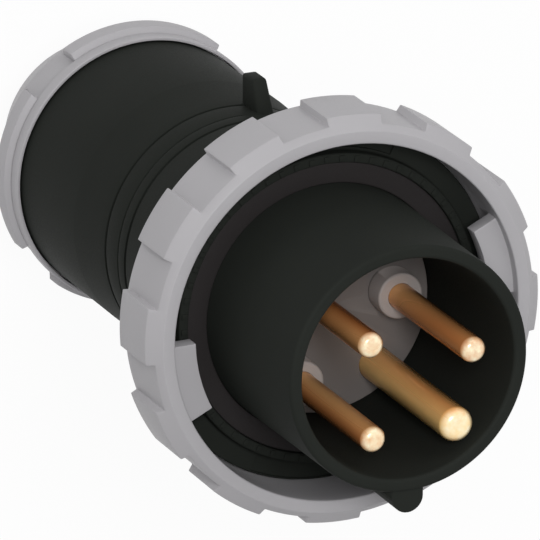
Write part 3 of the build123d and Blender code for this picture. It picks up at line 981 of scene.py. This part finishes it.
@dataclass
class ContactSet:
    """The insert at the bottom of the sleeve, its collars and the four brass pins."""

    face: float = 46.0
    face_radius: float = 25.3
    flange_radius: float = 27.1
    flange_front: float = 51.0
    back: float = 54.0
    collar_radius: float = 5.4
    collar_top: float = 40.2
    collar_round: float = 0.6
    collar_flare: float = 0.1
    collar_sink: float = 0.5
    hole_gap: float = 0.08
    hole_reach: float = 2.0
    edge_ease: float = 0.15
    circle_radius: float = 15.2
    circle_x: float = 2.2
    circle_z: float = -4.4
    earth_angle: float = -47.0
    line_angles: tuple[float, ...] = (24.0, 135.0, -132.0)
    barrel_back: float = 78.0
    wire_depth: float = 17.0
    line: PinSize = PinSize(radius=3.0, barrel=5.2, wire=2.9, tip=0.3, tip_round=1.9)
    earth: PinSize = PinSize(radius=4.0, barrel=5.7, wire=3.3, tip=1.0, tip_round=2.4)

    def build(self, dressing: Dressing) -> None:
        """Build the insert and the pins.

        Args:
            dressing: the materials.
        """
        install(self.insert(), "contact_insert", Body.BODY, INSERT, dressing)
        earth = self.pin("earth_pin_turned", self.earth_angle, self.earth)
        install(earth, "earth_pin", Body.BODY, EARTH_BRASS, dressing)
        for number, angle in enumerate(self.line_angles, start=1):
            pin = self.pin(f"line_pin_{number}_turned", angle, self.line)
            install(pin, f"line_pin_{number}", Body.BODY, LINE_BRASS, dressing)

    def place(self, angle: float) -> tuple[float, float]:
        """Give the place of a contact on the pin circle.

        Args:
            angle: its angle, in degrees.

        Returns:
            X and Z.
        """
        return (self.circle_x + self.circle_radius * cos(radians(angle)),
                self.circle_z + self.circle_radius * sin(radians(angle)))

    def insert(self) -> Piece:
        """Turn the disc and stand the collars on it.

        Returns:
            The insert.
        """
        outline = [(AXIS_RADIUS, self.face), (self.face_radius, self.face),
                   (self.face_radius, self.flange_front), (self.flange_radius, self.flange_front),
                   (self.flange_radius, self.back), (AXIS_RADIUS, self.back)]
        disc = turned("contact_insert_disc", softened(outline, {1: 0.3}), steps=180)
        foot = self.face + self.collar_sink
        collar_outline = [(AXIS_RADIUS, self.collar_top), (self.collar_radius, self.collar_top),
                          (self.collar_radius + self.collar_flare, foot), (AXIS_RADIUS, foot)]
        for angle in self.line_angles:
            collar = turned("collar", softened(collar_outline, {1: self.collar_round}), steps=96)
            shift_piece(collar, *self.place(angle))
            combine(disc, collar, "UNION")
        holes = [(self.earth_angle, self.earth.radius), *((a, self.line.radius) for a in self.line_angles)]
        start, end = self.collar_top - self.hole_reach, self.back + self.hole_reach
        for angle, radius in holes:
            x, z = self.place(angle)
            combine(disc, rod("pin_hole", radius + self.hole_gap, start, end, x, z), "DIFFERENCE")
        ease_edges(disc, self.edge_ease)
        return disc

    def pin(self, name: str, angle: float, size: PinSize) -> Piece:
        """Turn one pin with its drilled barrel.

        Args:
            name: the piece's name.
            angle: its angle on the pin circle.
            size: its sizes.

        Returns:
            The pin.
        """
        bottom = self.barrel_back - self.wire_depth
        outline = [(AXIS_RADIUS, size.tip), (size.radius, size.tip), (size.radius, self.back),
                   (size.barrel, self.back), (size.barrel, self.barrel_back),
                   (size.wire, self.barrel_back), (size.wire, bottom), (AXIS_RADIUS, bottom + size.wire / 2)]
        rounds = {1: size.tip_round, 3: 0.3, 4: 0.3, 5: 0.2}
        pin = turned(name, softened(outline, rounds, steps=10), steps=96)
        shift_piece(pin, *self.place(angle))
        return pin


@dataclass
class RearHousing:
    """The black rear half of the body, with the catch on its top."""

    spigot_bore: float = 24.1
    spigot: float = 27.1
    spigot_front: float = 79.1
    start: float = 92.8
    radius: float = 30.6
    band: float = 99.4
    band_width: float = 1.0
    band_depth: float = 0.4
    flare_start: float = 103.8
    flare_end: float = 117.3
    flare_round: float = 9.0
    rear_radius: float = 31.2
    rear_bore: float = 27.6
    nut_seat: float = 152.0
    neck_radius: float = 28.0
    neck_end: float = 162.0
    gland_bore: float = 24.0
    gland_seat: float = 147.0
    seat_radius: float = 19.0
    seat_thickness: float = 3.5
    catch_low: Triple = (4.2, 92.8, 29.0)
    catch_high: Triple = (7.8, 102.3, 37.4)
    catch_foot: float = 0.6
    catch_lean: float = 3.5
    catch_ease: float = 0.7
    chamber_lead: float = 5.6

    def build(self, dressing: Dressing) -> None:
        """Build the housing.

        Args:
            dressing: the materials.
        """
        install(self.shell(), "rear_housing", Body.BODY, HOUSING, dressing)

    def shell(self) -> Piece:
        """Turn the shell and add the catch.

        Returns:
            The housing.
        """
        low = self.radius - self.band_depth
        seat_front = self.gland_seat - self.seat_thickness
        outline = [
            (self.spigot_bore, self.spigot_front), (self.spigot, self.spigot_front),
            (self.spigot, self.start), (self.radius, self.start), (self.radius, self.band),
            (low, self.band), (low, self.band + self.band_width),
            (self.radius, self.band + self.band_width), (self.radius, self.flare_start),
            (self.rear_radius, self.flare_end), (self.rear_radius, self.nut_seat),
            (self.neck_radius, self.nut_seat), (self.neck_radius, self.neck_end),
            (self.gland_bore, self.neck_end), (self.gland_bore, self.gland_seat),
            (self.seat_radius, self.gland_seat), (self.seat_radius, seat_front),
            (self.rear_bore, seat_front - (self.rear_bore - self.seat_radius)),
            (self.rear_bore, self.start + self.chamber_lead), (self.spigot_bore, self.start),
        ]
        rounds = {1: 0.4, 3: 0.3, 4: 0.15, 7: 0.15, 9: self.flare_round, 10: 0.3, 12: 0.5}
        shell = turned("rear_housing_shell", softened(outline, rounds))
        combine(shell, self.catch(), "UNION")
        return shell

    def catch(self) -> Piece:
        """Shape the catch from a block.

        Returns:
            The catch.
        """
        piece = block("catch", self.catch_low, self.catch_high)
        high_x, high_z = self.catch_high[0] - CORNER_MARGIN, self.catch_high[2] - CORNER_MARGIN
        shift_points(piece, lambda v: v.x > high_x and v.z < high_z, (self.catch_foot, 0, 0))
        front = self.catch_low[1] + CORNER_MARGIN
        shift_points(piece, lambda v: v.y < front and v.z > high_z, (0, self.catch_lean, 0))
        ease_edges(piece, self.catch_ease, segments=3)
        return piece


@dataclass
class GlandNut:
    """The grey nut at the cable end, with four grip lobes."""

    front: float = 149.0
    back: float = 182.0
    skirt_bore: float = 31.55
    skirt: float = 32.45
    skirt_end: float = 152.35
    bead_end: float = 152.5
    hub: float = 31.4
    hub_start: float = 152.8
    thread_bore: float = 28.4
    floor: float = 163.15
    cone_start: float = 21.0
    cage_back: float = 172.65
    cage_radius: float = 16.6
    entry: float = 15.0
    end_radius: float = 22.2
    taper_start: float = 162.6
    lobe_radius: float = 33.8
    lobes: Sectors = Sectors(count=4, span=68.0, middle=86.0)
    lobe_lean: float = 0.8
    lobe_end: float = 158.2
    lobe_tail: float = 161.4
    edge_ease: float = 0.3

    def build(self, dressing: Dressing) -> None:
        """Build the nut.

        Args:
            dressing: the materials.
        """
        install(self.shape(), "gland_nut", Body.NUT, GRIP, dressing)

    def shape(self) -> Piece:
        """Turn the nut and raise its lobes.

        Returns:
            The nut.
        """
        outline = [
            (self.skirt_bore, self.front), (self.skirt, self.front), (self.skirt, self.bead_end),
            (self.hub, self.hub_start), (self.hub, self.lobe_tail), (self.hub, self.taper_start),
            (self.end_radius, self.back), (self.entry, self.back), (self.cage_radius, self.cage_back),
            (self.cone_start, self.floor), (self.thread_bore, self.floor), (self.thread_bore, self.skirt_end),
            (self.skirt_bore, self.skirt_end),
        ]
        rounds = {0: 0.2, 1: 0.4, 2: 0.3, 5: 4.0, 6: 2.2, 7: 0.6}
        nut = turned("gland_nut_body", softened(outline, rounds))
        raise_wall(nut, self.hub, self.hub_start, self.lobe_tail, self.lobes, self.lobe_radius - self.hub)
        shift_crest(nut, self.lobe_radius, self.hub_start, self.lobe_lean)
        shift_crest(nut, self.lobe_radius, self.lobe_tail, self.lobe_end - self.lobe_tail)
        ease_edges(nut, self.edge_ease)
        return nut


@dataclass
class InnerParts:
    """The pieces that stay as they are and only get their finish, by the first word that fits."""

    finishes: tuple[tuple[str, Finish], ...] = (
        ("screw", STEEL), ("plate", STEEL), ("carrier", CARRIER), ("cage", CARRIER), ("washer", CARRIER),
        ("seal", SEAL), ("oring", SEAL),
    )

    def build(self, frame: dict, dressing: Dressing) -> None:
        """Dress each piece that no new piece stands for.

        Args:
            frame: the loaded frame.
            dressing: the materials.
        """
        for node, piece in frame["nodes"].items():
            if piece.hide_render:
                continue
            dressing.put(piece, next(finish for word, finish in self.finishes if word in node))
            LOG.info("%s dressed", node)


@dataclass(frozen=True)
class Lamp:
    """One square soft lamp: its place and size in millimetres and its power in watts."""

    name: str
    place: Triple
    size: float
    power: float


@dataclass
class Studio:
    """The floor, the lights and the camera at the photograph's angle."""

    floor_z: float = -182.0
    floor_size: float = 8000.0
    azimuth: float = -23.5
    elevation: float = 19.2
    distance: float = 2000.0
    lens: float = 609.3
    sensor: float = 36.0
    shift_right: float = -30.5
    shift_up: float = 21.8
    ambient: float = 0.42
    floor_glow: float = 0.94
    floor_shade: float = 0.9
    floor_roughness: float = 0.9
    view_depth: float = 50000.0
    aim: Triple = (0.0, 0.0, -60.0)
    lamps: tuple[Lamp, ...] = (
        Lamp("key_light", (330, 930, 620), 700, 2.1),
        Lamp("fill_light", (800, 100, 600), 700, 0.6),
        Lamp("front_light", (-260, 340, 780), 240, 4.9),
    )

    def build(self) -> None:
        """Set the stage."""
        self.floor()
        self.world()
        for lamp in self.lamps:
            self.hang(lamp)
        self.camera()
        bpy.context.scene.view_settings.view_transform = "Standard"
        LOG.info("studio set")

    def floor(self) -> None:
        """Lay a plain pale floor that shows nearly white and keeps its shadow."""
        clear_selection()
        bpy.ops.mesh.primitive_plane_add(size=self.floor_size * MM, location=(0, 0, self.floor_z * MM))
        floor = bpy.context.object
        floor.name = "floor"
        material = bpy.data.materials.new("pale_floor")
        material.use_nodes = True
        nodes, links = material.node_tree.nodes, material.node_tree.links
        shader = nodes["Principled BSDF"]
        shader.inputs["Base Color"].default_value = (self.floor_shade, self.floor_shade, self.floor_shade, 1)
        shader.inputs["Roughness"].default_value = self.floor_roughness
        glow = nodes.new("ShaderNodeEmission")
        share = nodes.new("ShaderNodeMapRange")
        share.inputs["To Max"].default_value = self.floor_glow
        links.new(self.seen(nodes, links), share.inputs["Value"])
        mix = nodes.new("ShaderNodeMixShader")
        links.new(share.outputs["Result"], mix.inputs["Fac"])
        links.new(shader.outputs["BSDF"], mix.inputs[1])
        links.new(glow.outputs["Emission"], mix.inputs[2])
        links.new(mix.outputs["Shader"], nodes["Material Output"].inputs["Surface"])
        floor.data.materials.append(material)

    def seen(self, nodes: bpy.types.Nodes, links: bpy.types.NodeLinks) -> Socket:
        """Say whether a ray shows its end to the camera, straight or by a reflection.

        Args:
            nodes: the nodes to add to.
            links: their links.

        Returns:
            A value socket, 1 for such a ray.
        """
        path = nodes.new("ShaderNodeLightPath")
        shown = path.outputs["Is Camera Ray"]
        for name in ("Is Glossy Ray", "Is Transmission Ray"):
            either = nodes.new("ShaderNodeMath")
            either.operation = "MAXIMUM"
            links.new(shown, either.inputs[0])
            links.new(path.outputs[name], either.inputs[1])
            shown = either.outputs["Value"]
        return shown

    def world(self) -> None:
        """Light the scene evenly from all round."""
        world = bpy.data.worlds.new("studio")
        bpy.context.scene.world = world
        world.use_nodes = True
        nodes, links = world.node_tree.nodes, world.node_tree.links
        background = nodes["Background"]
        background.inputs["Color"].default_value = (1, 1, 1, 1)
        strength = nodes.new("ShaderNodeMapRange")
        strength.inputs["To Min"].default_value = self.ambient
        strength.inputs["To Max"].default_value = 1.0
        links.new(self.seen(nodes, links), strength.inputs["Value"])
        links.new(strength.outputs["Result"], background.inputs["Strength"])

    def hang(self, lamp: Lamp) -> None:
        """Hang one lamp so that it looks at the plug.

        Args:
            lamp: the lamp.
        """
        light = bpy.data.lights.new(lamp.name, "AREA")
        light.size = lamp.size * MM
        light.energy = lamp.power
        holder = bpy.data.objects.new(lamp.name, light)
        bpy.context.scene.collection.objects.link(holder)
        holder.location = Vector(lamp.place) * MM
        aim = Vector(self.aim) * MM - holder.location
        holder.rotation_euler = aim.to_track_quat("-Z", "Y").to_euler()

    def camera(self) -> None:
        """Place the camera as it stands before the lying plug, and turn it as the plug is turned."""
        turn, lift = radians(self.azimuth), radians(self.elevation)
        back = Vector((sin(turn) * cos(lift), -cos(turn) * cos(lift), sin(lift)))
        right = Vector((cos(turn), sin(turn), 0))
        up = back.cross(right)
        camera = bpy.data.cameras.new("camera")
        camera.lens = self.lens
        camera.sensor_width = self.sensor
        camera.clip_end = self.view_depth * MM
        holder = bpy.data.objects.new("camera", camera)
        bpy.context.scene.collection.objects.link(holder)
        place = back * self.distance + right * self.shift_right + up * self.shift_up
        lying = Matrix.Translation(place * MM) @ Matrix((right, up, back)).transposed().to_4x4()
        holder.matrix_world = Matrix.Rotation(STANDING_TURN, 4, "X") @ lying
        bpy.context.scene.camera = holder


def main() -> None:
    """Build the plug's looks in order."""
    logging.basicConfig(level=logging.INFO, format="%(message)s")
    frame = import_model()
    dressing = Dressing()
    for assembly in (FrontHousing(), LockingRing(), ContactSet(), RearHousing(), GlandNut()):
        assembly.build(dressing)
    InnerParts().build(frame, dressing)
    Studio().build()


if __name__ == "__main__":
    main()
